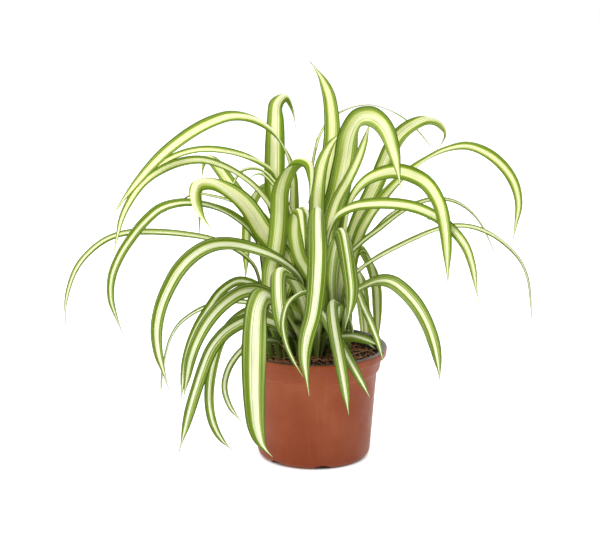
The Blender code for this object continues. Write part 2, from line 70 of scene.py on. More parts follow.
camera_data = bpy.data.cameras.new("studio_camera")
camera_data.lens = LENS_MM
camera_data.sensor_width = 36
camera = bpy.data.objects.new("studio_camera", camera_data)
camera.location = (VIEW_AIM[0],
                   VIEW_AIM[1] - VIEW_DISTANCE * math.cos(VIEW_DOWN),
                   VIEW_AIM[2] + VIEW_DISTANCE * math.sin(VIEW_DOWN))
camera.rotation_euler = (math.pi / 2 - VIEW_DOWN, 0, 0)
bpy.context.scene.collection.objects.link(camera)
bpy.context.scene.camera = camera
print("camera at", tuple(round(value, 3) for value in camera.location))

# %% [markdown]
# ## A short way to write node trees
#
# Both the shapes and the finishes below are node trees. Written out in full, a tree is mostly
# bookkeeping, so this small class adds a node, fills or links its inputs and hands back the
# output. With it, a line of a tree reads like the sum that it does.

# %% A helper for node trees
class Tree:
    """A node tree that is being built."""

    def __init__(self, tree):
        self.tree = tree

    def add(self, kind, inputs=None, **settings):
        """A new node, its settings made and its inputs linked to a socket or set to a value."""
        node = self.tree.nodes.new(kind)
        for label, value in settings.items():
            setattr(node, label, value)
        for label, value in (inputs or {}).items():
            if isinstance(value, bpy.types.NodeSocket):
                self.tree.links.new(value, node.inputs[label])
            else:
                node.inputs[label].default_value = value
        return node

    def math(self, operation, *values):
        """The result of a Math node."""
        return self.add("ShaderNodeMath", dict(enumerate(values)), operation=operation).outputs[0]

    def vector(self, operation, *values):
        """The result of a Vector Math node."""
        node = self.add("ShaderNodeVectorMath", dict(enumerate(values)), operation=operation)
        return node.outputs["Vector"]

    def scaled(self, vector, factor):
        """A vector times a number."""
        inputs = {"Vector": vector, "Scale": factor}
        return self.add("ShaderNodeVectorMath", inputs, operation="SCALE").outputs["Vector"]

    def triple(self, x=0.0, y=0.0, z=0.0):
        """A vector from three numbers."""
        return self.add("ShaderNodeCombineXYZ", {"X": x, "Y": y, "Z": z}).outputs[0]

    def fade(self, value, start, end, low=0.0, high=1.0):
        """A soft change from low to high while the value goes from start to end."""
        inputs = {"Value": value, "From Min": start, "From Max": end, "To Min": low, "To Max": high}
        return self.add("ShaderNodeMapRange", inputs, interpolation_type="SMOOTHSTEP").outputs["Result"]

    def noise(self, place, scale, detail=2.0, roughness=0.5):
        """A smooth random value from 0 to 1."""
        inputs = {"Vector": place, "Scale": scale, "Detail": detail, "Roughness": roughness}
        return self.add("ShaderNodeTexNoise", inputs).outputs[0]


def geometry_tree(name, sizes):
    """A Geometry Nodes tree with a geometry socket each way and a named input for each size."""
    group = bpy.data.node_groups.new(name, "GeometryNodeTree")
    group.interface.new_socket("Geometry", in_out="OUTPUT", socket_type="NodeSocketGeometry")
    group.interface.new_socket("Geometry", in_out="INPUT", socket_type="NodeSocketGeometry")
    for label, kind in sizes.items():
        group.interface.new_socket(label, in_out="INPUT", socket_type="NodeSocket" + kind)
    tree = Tree(group)
    return tree, tree.add("NodeGroupInput").outputs


def finish_tree(tree, geometry):
    """End a tree: realize what is instanced and send it out."""
    realized = tree.add("GeometryNodeRealizeInstances", {"Geometry": geometry}).outputs[0]
    tree.add("NodeGroupOutput", {"Geometry": realized})


def grown(name, start_mesh, tree, sizes):
    """The plain mesh object that a tree makes of a starting mesh, with its named inputs set."""
    seed_object = bpy.data.objects.new(name + "_start", start_mesh)
    bpy.context.scene.collection.objects.link(seed_object)
    modifier = seed_object.modifiers.new("shape", "NODES")
    modifier.node_group = tree.tree
    for item in tree.tree.interface.items_tree:
        if item.in_out == "INPUT" and item.name in sizes:
            modifier[item.identifier] = sizes[item.name]
    depsgraph = bpy.context.evaluated_depsgraph_get()
    mesh = bpy.data.meshes.new_from_object(seed_object.evaluated_get(depsgraph), depsgraph=depsgraph)
    mesh.name = name
    bpy.data.objects.remove(seed_object)
    made = bpy.data.objects.new(name, mesh)
    bpy.context.scene.collection.objects.link(made)
    return made


print("node helpers ready")

# %% [markdown]
# ## Where each leaf runs
#
# In the frame, a leaf is a plain strap with a fold along its middle. Its corners lie in rings of
# six, one ring at each station from base to tip: three rails, each with an upper and a lower
# corner. Walking outward from the ring at the base finds the rings in order. The middles of the
# three close pairs are the left margin, the midrib and the right margin. That is all that a
# finished blade needs to know, so it follows the frame exactly.

# %% Read the rails of a strap
SAME_POINT = 0.01 * MM
CROWN_REACH = 46 * MM         # from the pot's axis: the foot of every leaf is nearer than this
RING_SIZE = 6


def rings_of(node):
    """The rings of corners of a strap, from its base to its tip."""
    mesh = bmesh.new()
    mesh.from_mesh(node.data)
    bmesh.ops.remove_doubles(mesh, verts=mesh.verts, dist=SAME_POINT)
    mesh.verts.ensure_lookup_table()
    inside = [vert for vert in mesh.verts if vert.co.xy.length < CROWN_REACH]
    ring = {vert.index for vert in sorted(inside, key=lambda vert: vert.co.z)[:RING_SIZE]}
    seen, rings = set(), []
    while ring:
        rings.append(np.array([mesh.verts[index].co for index in ring]))
        seen |= ring
        ring = {edge.other_vert(mesh.verts[index]).index
                for index in ring for edge in mesh.verts[index].link_edges} - seen
    mesh.free()
    return rings


def rail_points(ring):
    """The midrib and the two margins where they pass a ring of six corners."""
    near = sorted((np.linalg.norm(ring[a] - ring[b]), a, b)
                  for a, b in combinations(range(RING_SIZE), 2))
    free, rails = set(range(RING_SIZE)), []
    for _, a, b in near:
        if a in free and b in free:
            free -= {a, b}
            rails.append((ring[a] + ring[b]) / 2)
    across = [np.linalg.norm(rails[a] - rails[b]) for a, b in ((1, 2), (0, 2), (0, 1))]
    middle = rails.pop(int(np.argmax(across)))
    return middle, rails[0], rails[1]


def rails_of(node):
    """Left margin, midrib and right margin of a leaf, seen from the base with its upper face up."""
    left, middle, right = [], [], []
    for ring in rings_of(node):
        rib, one, other = rail_points(ring)
        if right and (other - one) @ (right[-1] - left[-1]) < 0:
            one, other = other, one
        left.append(one)
        middle.append(rib)
        right.append(other)
    left, middle, right = np.array(left), np.array(middle), np.array(right)
    lift = (left + right) / 2 - middle
    if (np.cross(np.gradient(middle, axis=0), right - left) * lift).sum() < 0:
        left, right = right, left
    return left, middle, right


rails = {name: rails_of(nodes[name]) for name in leaf_names}
print("stations per leaf", sorted({len(rail[1]) for rail in rails.values()}))

# %% [markdown]
# ## The shape of a blade
#
# A spider plant's leaf is a long strap: a shallow channel with a soft keel, thickest along the
# midrib, with thin rounded margins that wander a little, drawn out to a fine tip. Every leaf
# follows that one rule, so one Geometry Nodes tree makes them all. It wraps a cylinder round the
# midrib: the cylinder's angle becomes the place across the blade and its height the place along.
# Where the midrib and margins run is read from the rails. A curve through the stations smooths them.

# %% The blade tree
ROOTED = 7 * MM               # how far a leaf reaches down into the mix
KEEL_SOFTNESS = 0.13          # of the half width over which the fold is rounded

blade, size = geometry_tree("leaf_blade", {
    "Columns": "Int", "Rows": "Int", "Thickness": "Float", "Margin Wave": "Float",
    "Tip Start": "Float", "Tip Width": "Float", "Seed": "Float",
    "Youth": "Float", "Stripe": "Float", "Dry Tip": "Float", "Finish": "Material"})
midrib = blade.add("GeometryNodeMeshToCurve", {0: size["Geometry"]}).outputs[0]
midrib = blade.add("GeometryNodeCurveSplineType", {0: midrib}, spline_type="CATMULL_ROM").outputs[0]
stock = blade.add("GeometryNodeMeshCylinder", {
    "Vertices": size["Columns"], "Side Segments": size["Rows"], "Radius": 1.0, "Depth": 1.0,
}, fill_type="NGON").outputs["Mesh"]
stock_place = blade.add("GeometryNodeInputPosition").outputs[0]
place = blade.add("ShaderNodeSeparateXYZ", {0: stock_place}).outputs
across, turn = place["X"], place["Y"]
along = blade.math("ADD", place["Z"], 0.5)


def on_rail(label):
    """The Sample Curve node that reads one rail's offset from the midrib at this place along it."""
    offset = blade.add("GeometryNodeInputNamedAttribute", {"Name": label}, data_type="FLOAT_VECTOR")
    inputs = {"Curves": midrib, "Value": offset.outputs["Attribute"], "Factor": along}
    return blade.add("GeometryNodeSampleCurve", inputs, data_type="FLOAT_VECTOR", mode="FACTOR").outputs


to_left, to_right = on_rail("to_left"), on_rail("to_right")
tip = blade.fade(along, size["Tip Start"], 1.0, 1.0, size["Tip Width"])
half_span = blade.scaled(blade.vector("SUBTRACT", to_right["Value"], to_left["Value"]), 0.5)
lift = blade.scaled(blade.vector("ADD", to_right["Value"], to_left["Value"]), 0.5)
face = blade.vector("NORMALIZE", blade.vector("CROSS_PRODUCT", to_left["Tangent"], half_span))
print("blade tree reads its rails")

# %% [markdown]
# The fold is a V whose corner is rounded: a square root of the squared place across plus a small
# constant does that. Where the margins hang down over the top of an arch, the V gives way to a
# round section. The thickness comes from the cylinder's own roundness, flattened so that the
# margins stay thin but not sharp. The wave is a slow noise that only moves the margins.

# %% The section of the blade
CHANNEL_RISE, HANGING_RISE = 0.10, -0.20    # of the half width: a folded blade, and a drooping one
EDGE_ROUNDNESS = 0.55
MARGIN_THINNING = 0.45        # of the thickness, lost between midrib and margin
STOUT_BASE, STOUT_UNTIL = 1.7, 0.25
WAVES_PER_METRE = 28.0
WAVE_START, WAVE_FULL = 0.05, 0.3

across_squared = blade.math("MULTIPLY", across, across)
rounded = blade.math("SQRT", blade.math("ADD", across_squared, KEEL_SOFTNESS ** 2))
fold_range = math.sqrt(1 + KEEL_SOFTNESS ** 2) - KEEL_SOFTNESS
fold = blade.math("DIVIDE", blade.math("SUBTRACT", rounded, KEEL_SOFTNESS), fold_range)
rise = blade.add("ShaderNodeVectorMath", {0: lift, 1: face}, operation="DOT_PRODUCT").outputs["Value"]
span = blade.add("ShaderNodeVectorMath", {0: half_span}, operation="LENGTH").outputs["Value"]
sag = blade.fade(blade.math("DIVIDE", rise, span), CHANNEL_RISE, HANGING_RISE)
fold = blade.math("ADD", blade.math("MULTIPLY", fold, blade.math("SUBTRACT", 1.0, sag)),
                  blade.math("MULTIPLY", across_squared, sag))

flat_turn = blade.math("MULTIPLY", blade.math("SIGN", turn),
                       blade.math("POWER", blade.math("ABSOLUTE", turn), EDGE_ROUNDNESS))
keel = blade.math("SUBTRACT", 1.0, blade.math("MULTIPLY", across_squared, MARGIN_THINNING))
stout = blade.fade(along, 0.0, STOUT_UNTIL, STOUT_BASE, 1.0)
half_thick = blade.math("MULTIPLY", blade.math("MULTIPLY", size["Thickness"], 0.5),
                        blade.math("MULTIPLY", keel, blade.math("MULTIPLY", stout, tip)))

curve_length = blade.add("GeometryNodeCurveLength", {0: midrib}).outputs[0]
metres_along = blade.math("MULTIPLY", along, curve_length)
wave_place = blade.triple(blade.math("MULTIPLY", metres_along, WAVES_PER_METRE),
                          blade.math("SIGN", across), size["Seed"])
wave = blade.math("SUBTRACT", blade.noise(wave_place, 1.0, 1.0), 0.5)
wave = blade.math("MULTIPLY", wave, blade.math("MULTIPLY", across_squared, size["Margin Wave"]))
wave_grows = blade.fade(along, WAVE_START, WAVE_FULL)
wave = blade.math("MULTIPLY", wave, blade.math("MULTIPLY", tip, wave_grows))
out_of_face = blade.math("ADD", blade.math("MULTIPLY", flat_turn, half_thick), wave)

position = blade.vector("ADD", to_left["Position"],
                        blade.scaled(half_span, blade.math("MULTIPLY", across, tip)))
position = blade.vector("ADD", position, blade.scaled(lift, blade.math("MULTIPLY", fold, tip)))
position = blade.vector("ADD", position, blade.scaled(face, out_of_face))
for label, value in {
        "across": across, "underside": blade.math("LESS_THAN", turn, 0.0), "share": along,
        "along": metres_along, "seed": size["Seed"], "youth": size["Youth"],
        "stripe": size["Stripe"], "dry_tip": size["Dry Tip"]}.items():
    inputs = {"Geometry": stock, "Name": label, "Value": value}
    stock = blade.add("GeometryNodeStoreNamedAttribute", inputs,
                      data_type="FLOAT", domain="POINT").outputs[0]
skin = blade.add("GeometryNodeSetPosition", {"Geometry": stock, "Position": position}).outputs[0]
skin = blade.add("GeometryNodeSetShadeSmooth", {"Geometry": skin}).outputs[0]
skin = blade.add("GeometryNodeSetMaterial", {"Geometry": skin, "Material": size["Finish"]}).outputs[0]
finish_tree(blade, skin)
print("blade tree has", len(blade.tree.nodes), "nodes")

# %% [markdown]
# ## The leaf's finish
#
# The margins are green and the middle is cream. The border between them isn't clean: it breaks
# into fine lines that run the whole length, because the cells of a leaf divide along it. Streaks
# come from noise that is stretched along the blade. Young leaves are yellow-green with a broad
# cream stripe; old ones are deeper green with a narrow, whiter stripe. Towards the base the blade
# is painted a dull mid-green, as painted shade for the bases deep in the clump. The underside is
# tinted yellow-green, partly its own duller tone and partly a painted glow of light through the
# blade, and the last few millimetres dry to brown. All of it reads attributes that the blade tree
# stored, so that it follows every twist.

# %% Helpers for finishes
def new_finish(name, roughness, specular=0.5):
    """A material with a Principled shader, the tree to build on and the shader's inputs."""
    material = bpy.data.materials.new(name)
    material.use_nodes = True
    shader = material.node_tree.nodes["Principled BSDF"]
    shader.inputs["Roughness"].default_value = roughness
    shader.inputs["Specular IOR Level"].default_value = specular
    return material, Tree(material.node_tree), shader.inputs


def stored(tree, label):
    """A number that the shape's tree stored on the mesh."""
    return tree.add("ShaderNodeAttribute", attribute_name=label).outputs["Fac"]


def mixed(tree, factor, first, second):
    """A colour between two colours."""
    node = tree.add("ShaderNodeMix", {0: factor}, data_type="RGBA")
    for index, value in ((6, first), (7, second)):
        if isinstance(value, bpy.types.NodeSocket):
            tree.tree.links.new(value, node.inputs[index])
        else:
            node.inputs[index].default_value = (*value, 1.0)
    return node.outputs[2]


def ramp(tree, factor, stops):
    """A colour ramp with stops of (place, colour)."""
    node = tree.add("ShaderNodeValToRGB", {"Fac": factor})
    elements = node.color_ramp.elements
    while len(elements) < len(stops):
        elements.new(0.5)
    for element, (spot, colour) in zip(elements, stops):
        element.position = spot
        element.color = (*colour, 1.0)
    return node.outputs["Color"]


def bump(tree, shader, height, depth, strength=1.0):
    """Relief of a given depth in metres from a height between 0 and 1."""
    inputs = {"Height": height, "Distance": depth, "Strength": strength}
    tree.tree.links.new(tree.add("ShaderNodeBump", inputs).outputs[0], shader["Normal"])


print("finish helpers ready")

# %% [markdown]
# The stripe is read as a distance from the midrib, from 0 to 1 at the margin. The whole stripe
# drifts a little to one side and back along the leaf. Streaks then shift the distance before it
# meets the ramp, which frays the border. A finer noise draws thin lines: it is green where it
# passes one level and pale where it passes another, as most of these leaves have both.

# %% The leaf finish
OLD_STRIPE = [(0.0, (0.95, 0.97, 0.88)), (0.38, (0.92, 0.95, 0.72)), (0.41, (0.50, 0.60, 0.16)),
              (0.46, (0.145, 0.225, 0.008)), (1.0, (0.060, 0.110, 0.004))]
YOUNG_STRIPE = [(0.0, (0.94, 0.95, 0.57)), (0.36, (0.88, 0.91, 0.38)), (0.42, (0.48, 0.58, 0.07)),
                (0.50, (0.19, 0.30, 0.006)), (1.0, (0.090, 0.170, 0.003))]
RIM_GREEN = (0.030, 0.050, 0.004)
LINE_GREEN = (0.13, 0.21, 0.008)
LINE_PALE = (0.66, 0.74, 0.28)
STRIPE_EDGE = 0.42            # place on both ramps where cream turns to green
STREAKS_ACROSS, STREAKS_ALONG = 6.0, 2.0    # along is per metre
FINE_ACROSS, FINE_ALONG = 12.0, 1.5
DRIFT_ALONG = 5.0
DRIFT_REACH = 0.55            # of the half width
FRAY = 1.0
GREEN_LEVEL, PALE_LEVEL = 0.56, 0.43

leaf_finish, leaf, shader = new_finish("living_leaf", 0.36, 0.11)
side = stored(leaf, "across")
metres = stored(leaf, "along")
seed = stored(leaf, "seed")


def stretched(across_scale, along_scale):
    """A place on the leaf for a noise that is finer across the blade than along it."""
    return leaf.triple(leaf.math("MULTIPLY", side, across_scale),
                       leaf.math("MULTIPLY", metres, along_scale), seed)


def centred(value, reach_here):
    """A random value spread evenly about 0 instead of about a half."""
    return leaf.math("MULTIPLY", leaf.math("SUBTRACT", value, 0.5), reach_here)


def level_line(level, width, strength=1.0):
    """A thin line where the fine noise passes a level."""
    from_line = leaf.math("ABSOLUTE", leaf.math("SUBTRACT", fine_streak, level))
    return leaf.fade(from_line, width, 0.018, 0.0, strength)


streak = leaf.noise(stretched(STREAKS_ACROSS, STREAKS_ALONG), 1.0, 4.0, 0.75)
fine_streak = leaf.noise(stretched(FINE_ACROSS, FINE_ALONG), 1.0, 1.0, 0.6)
drift_place = leaf.triple(leaf.math("MULTIPLY", seed, 1.7),
                          leaf.math("MULTIPLY", metres, DRIFT_ALONG), 0.0)
drift = centred(leaf.noise(drift_place, 1.0), DRIFT_REACH)
reach = leaf.math("ABSOLUTE", leaf.math("ADD", side, drift))
frayed = leaf.math("ADD", reach, centred(streak, FRAY))
border = leaf.math("ADD", leaf.math("SUBTRACT", frayed, stored(leaf, "stripe")), STRIPE_EDGE)
youth = stored(leaf, "youth")
colour = mixed(leaf, youth, ramp(leaf, border, OLD_STRIPE), ramp(leaf, border, YOUNG_STRIPE))
thin_line = leaf.math("MULTIPLY", level_line(GREEN_LEVEL, 0.030),
                      leaf.fade(reach, 0.02, 0.2, 0.3, 0.75))
colour = mixed(leaf, thin_line, colour, LINE_GREEN)
colour = mixed(leaf, level_line(PALE_LEVEL, 0.032, 0.7), colour, LINE_PALE)
rim_line = leaf.fade(leaf.math("ABSOLUTE", side), 0.84, 0.94, 0.0, 0.65)
colour = mixed(leaf, rim_line, colour, RIM_GREEN)
print("leaf finish paints its stripes")

# %% [markdown]
# Base, underside and tip lie over the stripes. A living leaf also lets some light through, which
# is what makes a leaf with the light behind it glow. Subsurface scattering with a radius of about
# the blade's thickness gives that. Fine ribs run along the blade as relief, and the wax on it
# makes the gloss slightly uneven.

# %% Base, underside, tip and gloss of the leaf
# painted shade colour for the leaf bases deep in the clump
BASE_SHADE_GREEN = (0.17, 0.24, 0.05)
# underside tint: the underside's own tone, made more saturated as a painted glow of light through the
# blade
UNDERSIDE_AND_GLOW_GREEN = (0.30, 0.40, 0.05)
MOTTLE_GREEN = (0.08, 0.13, 0.02)
DRY_RIM = (0.50, 0.28, 0.10)
DRY_BROWN = (0.13, 0.055, 0.025)
DRY_FRAY = 0.03
RIBS_ACROSS = 46.0            # radians of relief over half the width
RIB_DEPTH = 0.12 * MM
LIGHT_DEPTH = 0.9 * MM        # how far light spreads inside the blade

# Painted shade: over the lowest few centimetres the blade is mixed towards a dull mid-green that darkens
# its pale stripes.
painted_base_shade = leaf.fade(metres, 15 * MM, 75 * MM, 0.75, 0.0)
colour = mixed(leaf, painted_base_shade, colour, BASE_SHADE_GREEN)
# The underside is tinted yellow-green: partly its own duller tone, partly a painted glow of light through
# the blade.
colour = mixed(leaf, leaf.math("MULTIPLY", stored(leaf, "underside"), 0.28), colour, UNDERSIDE_AND_GLOW_GREEN)
mottle = leaf.noise(stretched(2.0, 40.0), 1.0, 3.0)
colour = mixed(leaf, leaf.fade(mottle, 0.45, 0.75, 0.0, 0.16), colour, MOTTLE_GREEN)
dry_share = stored(leaf, "dry_tip")
from_tip = leaf.math("SUBTRACT", 1.0, stored(leaf, "share"))
dry_edge = leaf.math("ADD", from_tip, centred(streak, DRY_FRAY))
dry = leaf.math("DIVIDE", dry_edge, leaf.math("MAXIMUM", dry_share, 0.001))
colour = mixed(leaf, leaf.fade(dry, 1.0, 1.35, 1.0, 0.0), colour, DRY_RIM)
colour = mixed(leaf, leaf.fade(dry, 0.75, 1.0, 1.0, 0.0), colour, DRY_BROWN)
leaf.tree.links.new(colour, shader["Base Color"])
leaf.tree.links.new(leaf.fade(mottle, 0.3, 0.7, 0.38, 0.55), shader["Roughness"])
ribs = leaf.math("SINE", leaf.math("MULTIPLY", side, RIBS_ACROSS))
relief = leaf.math("ADD", leaf.math("MULTIPLY", ribs, 0.25), streak)
bump(leaf, shader, relief, RIB_DEPTH, 0.6)
shader["Subsurface Weight"].default_value = 0.12
shader["Subsurface Radius"].default_value = (1.0, 1.2, 0.4)
shader["Subsurface Scale"].default_value = LIGHT_DEPTH
print("leaf finish has", len(leaf.tree.nodes), "nodes")

# %% [markdown]
# ## Growing the leaves
#
# Leaves that reach high are the young ones from the middle of a crown, so a leaf's age comes from
# how high it arches. A few that differ are listed by name. Where a blade bends hard over the top
# of an arch it gets narrower, its fold opens and its margins hang down. The blade tree is run once
# for each leaf with its own seed, and the mesh it makes stands in for the plain strap.

# %% Grow every leaf
LOW_ARCH, HIGH_ARCH = 130 * MM, 250 * MM
LOW_LOOK = (0.15, 0.30)       # youth and half share of the stripe of a leaf that arches low
HIGH_GAIN = (0.75, 0.16)      # what a high arch adds to them
THICKNESS = 0.48 * MM
MARGIN_WAVE = 1.6 * MM
TIP_START, TIP_WIDTH = 0.90, 0.22    # share along where it narrows, and what is left at the end
ROW_SPACING = 2.6 * MM
COLUMNS = 28
OPEN_BEND, DROOP_BEND = 10.0, 34.0   # bend in radians per metre
DROOP = 1.15                  # of the half width that the margins hang down over a tight arch
PINCH = 0.22                  # of the width that a tight arch takes away
FOLD_GAIN = 1.35
OWN_LOOK = {  # youth, half share of the stripe
    "leaf_back_12": (1.0, 0.52),
    "leaf_left_18": (0.85, 0.50),
    "leaf_left_11": (1.0, 0.60),
    "leaf_left_12": (0.95, 0.48),
    "leaf_left_08": (0.30, 0.36),
    "leaf_left_09": (0.35, 0.30),
    "leaf_front_10": (0.25, 0.34),
    "leaf_front_04": (0.40, 0.38),
    "leaf_front_09": (0.30, 0.22),
    "leaf_front_08": (0.75, 0.40),
    "leaf_right_03": (0.35, 0.24),
    "leaf_right_10": (0.85, 0.46),
    "leaf_right_13": (0.85, 0.46),
}
DRY_TIPS = {"leaf_left_10": 0.15, "leaf_left_04": 0.02, "leaf_left_18": 0.02, "leaf_left_07": 0.03}
USUAL_DRY_TIP = 0.008


def relaxed(left, middle, right):
    """Offsets to both margins: the fold opens and the margins droop where the blade bends hard."""
    along = np.gradient(middle, axis=0)
    spacing = np.linalg.norm(along, axis=1, keepdims=True)
    along /= spacing
    half, lift = (right - left) / 2, (left + right) / 2 - middle
    face = np.cross(along, half)
    face /= np.linalg.norm(face, axis=1, keepdims=True)
    bend = -(np.gradient(along, axis=0) / spacing * face).sum(axis=1)
    droop = np.clip((bend - OPEN_BEND) / (DROOP_BEND - OPEN_BEND), 0, 1)
    droop = np.convolve(np.pad(droop, 1, mode="edge"), (0.25, 0.5, 0.25), mode="valid")[:, None]
    width = np.linalg.norm(half, axis=1, keepdims=True)
    lift = lift * FOLD_GAIN * (1 - droop) - droop * DROOP * width * face
    half *= 1 - PINCH * droop
    return lift - half, lift + half


def midrib_chain(name, left, middle, right):
    """The midrib as a chain of points that carries the offsets to both margins."""
    foot = middle[:1] - np.array([[0, 0, ROOTED]])
    points = np.vstack([foot, middle])
    mesh = bpy.data.meshes.new(name + "_midrib")
    mesh.from_pydata(points.tolist(), [(index, index + 1) for index in range(len(points) - 1)], [])
    for label, offsets in zip(("to_left", "to_right"), relaxed(left, middle, right)):
        offsets = np.vstack([offsets[:1], offsets]).astype(np.float32)
        mesh.attributes.new(label, "FLOAT_VECTOR", "POINT").data.foreach_set("vector", offsets.ravel())
    return mesh


def take_place(piece, node_name):
    """Let a finished piece stand for its node of the frame."""
    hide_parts(node_name)
    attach(piece, "root")


triangles = 0
for number, name in enumerate(leaf_names):
    left, middle, right = rails[name]
    length = np.linalg.norm(np.diff(middle, axis=0), axis=1).sum() + ROOTED
    arch = float(np.clip((middle[:, 2].max() - LOW_ARCH) / (HIGH_ARCH - LOW_ARCH), 0, 1))
    usual_look = [start + gain * arch for start, gain in zip(LOW_LOOK, HIGH_GAIN)]
    youth_here, stripe_here = OWN_LOOK.get(name, usual_look)
    piece = grown(name.replace("leaf_", "blade_"), midrib_chain(name, left, middle, right), blade, {
        "Columns": COLUMNS, "Rows": int(length / ROW_SPACING), "Thickness": THICKNESS,
        "Margin Wave": MARGIN_WAVE, "Tip Start": TIP_START, "Tip Width": TIP_WIDTH,
        "Seed": 3.7 * number + 1.0,
        "Youth": youth_here, "Stripe": stripe_here,
        "Dry Tip": DRY_TIPS.get(name, USUAL_DRY_TIP), "Finish": leaf_finish})
    take_place(piece, name)
    triangles += sum(len(face.vertices) - 2 for face in piece.data.polygons)
print("leaves have", triangles, "triangles")

# %% [markdown]
# ## Turned pieces
#
# The pot and the mix in it are solids of revolution, so one tree turns them both. It takes a
# profile as a chain of points (radius, 0, height) and bends a grid into a turned skin: one
# column of the grid for each step round the axis, one row for each point of the profile. Merging
# closes the seam and the two poles.

# %% The turning tree
turning, size = geometry_tree("turned_skin", {"Steps": "Int", "Inner Row": "Int"})
rows = turning.add("GeometryNodeAttributeDomainSize", {0: size["Geometry"]},
                   component="MESH").outputs[0]
columns = turning.math("ADD", size["Steps"], 1.0)
sheet = turning.add("GeometryNodeMeshGrid", {
    "Vertices X": columns, "Vertices Y": rows}).outputs["Mesh"]
index = turning.add("GeometryNodeInputIndex").outputs[0]
row = turning.math("MODULO", index, rows)
column = turning.math("FLOOR", turning.math("DIVIDE", index, rows))
spot = turning.add("GeometryNodeSampleIndex", {
    "Geometry": size["Geometry"], "Value": turning.add("GeometryNodeInputPosition").outputs[0],
    "Index": row}, data_type="FLOAT_VECTOR", domain="POINT").outputs[0]
spot = turning.add("ShaderNodeSeparateXYZ", {0: spot}).outputs
angle = turning.math("MULTIPLY", turning.math("DIVIDE", column, size["Steps"]), 2 * math.pi)
round_place = turning.triple(turning.math("MULTIPLY", spot["X"], turning.math("COSINE", angle)),
                             turning.math("MULTIPLY", spot["X"], turning.math("SINE", angle)),
                             spot["Z"])
skin = turning.add("GeometryNodeSetPosition", {"Geometry": sheet, "Position": round_place}).outputs[0]
inner = turning.math("GREATER_THAN", row, size["Inner Row"])
skin = turning.add("GeometryNodeStoreNamedAttribute", {
    "Geometry": skin, "Name": "inner", "Value": inner}, data_type="FLOAT", domain="POINT").outputs[0]
skin = turning.add("GeometryNodeMergeByDistance", {
    "Geometry": skin, "Distance": SAME_POINT}).outputs[0]
finish_tree(turning, skin)


def profile_chain(name, points):
    """A profile of (radius, height) points as a chain."""
    mesh = bpy.data.meshes.new(name + "_profile")
    mesh.from_pydata([(radius, 0, height) for radius, height in points],
                     [(index, index + 1) for index in range(len(points) - 1)], [])
    return mesh


def faces_outward(piece):
    """Point all faces of a closed piece outward."""
    mesh = bmesh.new()
    mesh.from_mesh(piece.data)
    bmesh.ops.recalc_face_normals(mesh, faces=mesh.faces)
    mesh.to_mesh(piece.data)
    mesh.free()


print("turning tree has", len(turning.tree.nodes), "nodes")

# %% [markdown]
# ## The nursery pot
#
# A 12 cm grower's pot is moulded from thin polypropylene in two layers, terracotta outside and
# dark grey inside. Under the rolled rim is a smooth band, then a small step, the tapered body
# and a rounded foot with drain slots. Each corner of the profile is eased with a short arc,
# because a moulded edge always catches a thin line of light and a sharp one doesn't.

# %% Draw the pot's profile
pot_low, pot_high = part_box("pot")
TOP = (pot_high[2] - pot_low[2]) / MM           # this and the sizes down to CORNERS are in mm
RIM = (pot_high[0] - pot_low[0]) / 2 / MM
STEP = TOP - 18               # level of the step under the band
BAND = 54.0                   # radius of the band where it leaves the step
BODY = 51.75                  # radius of the body under the step
FOOT = 46.2                   # radius of the body above its rounded foot
WALL = 1.4
BOTTOM = 2.0                  # thickness of the pot's floor
CORNERS = [  # radius, height, and the radius that the corner is eased with
    (0.0, 0.0, 0.0), (42.4, 0.0, 2.5), (FOOT, 3.2, 3.0),
    (BODY, STEP - 1.4, 0.8), (BAND, STEP - 0.1, 0.5),
    (BAND + 1.75, TOP - 7.1, 0.4), (RIM - 0.7, TOP - 6.4, 0.4),
    (RIM - 0.05, TOP - 0.1, 1.3), (RIM - 4.6, TOP, 0.5),
    (RIM - 5.6, TOP - 2.6, 1.0), (BAND - WALL, STEP + 0.4, 1.5), (BODY - 1.35, STEP - 1.0, 1.5),
    (FOOT - 1.2, 5.2, 3.0), (41.9, BOTTOM, 1.0), (0.0, BOTTOM, 0.0)]


def eased(corners, arc_steps=4):
    """A profile with each corner replaced by a short arc."""
    points = []
    places = [np.array(corner[:2]) * MM for corner in corners]
    for index, (_, _, ease) in enumerate(corners):
        here = places[index]
        if not ease:
            points.append(tuple(here))
            continue
        back, ahead = places[index - 1] - here, places[index + 1] - here
        reach_here = min(ease * MM, 0.45 * np.linalg.norm(back), 0.45 * np.linalg.norm(ahead))
        start = here + back / np.linalg.norm(back) * reach_here
        end = here + ahead / np.linalg.norm(ahead) * reach_here
        for step in np.linspace(0, 1, arc_steps + 1):
            points.append(tuple((1 - step) ** 2 * start + 2 * step * (1 - step) * here
                                + step ** 2 * end))
    return points


def filled(points, spacing):
    """A profile with points added so that none lie further apart than the spacing."""
    full = [points[0]]
    for start, end in zip(points, points[1:]):
        count = max(1, math.ceil(math.dist(start, end) / spacing))
        full += [tuple(np.array(start) + (np.array(end) - np.array(start)) * n / count)
                 for n in range(1, count + 1)]
    return full


pot_profile = filled(eased(CORNERS), 4 * MM)
inner_row = next(n for n, (_, height) in enumerate(pot_profile) if height > (TOP - 0.45) * MM)
print("pot is", round(TOP, 2), "mm high with a rim of radius", round(RIM, 2), "mm")
print("its profile has", len(pot_profile), "points; the grey inside starts at", inner_row)

# %% [markdown]
# The drain slots repeat round the foot, so a second tree places one cutter, a lying cylinder
# flattened to the slot's height, on each point of a circle and cuts them all out at once.

# %% Turn the pot and cut its drain slots
SLOT_COUNT = 7
SLOT_START = math.radians(-81)
SLOT_RING = 43.75 * MM
SLOT_WIDTH = 15 * MM
SLOT_HEIGHT = 3.6 * MM
SLOT_DEPTH = 12.5 * MM

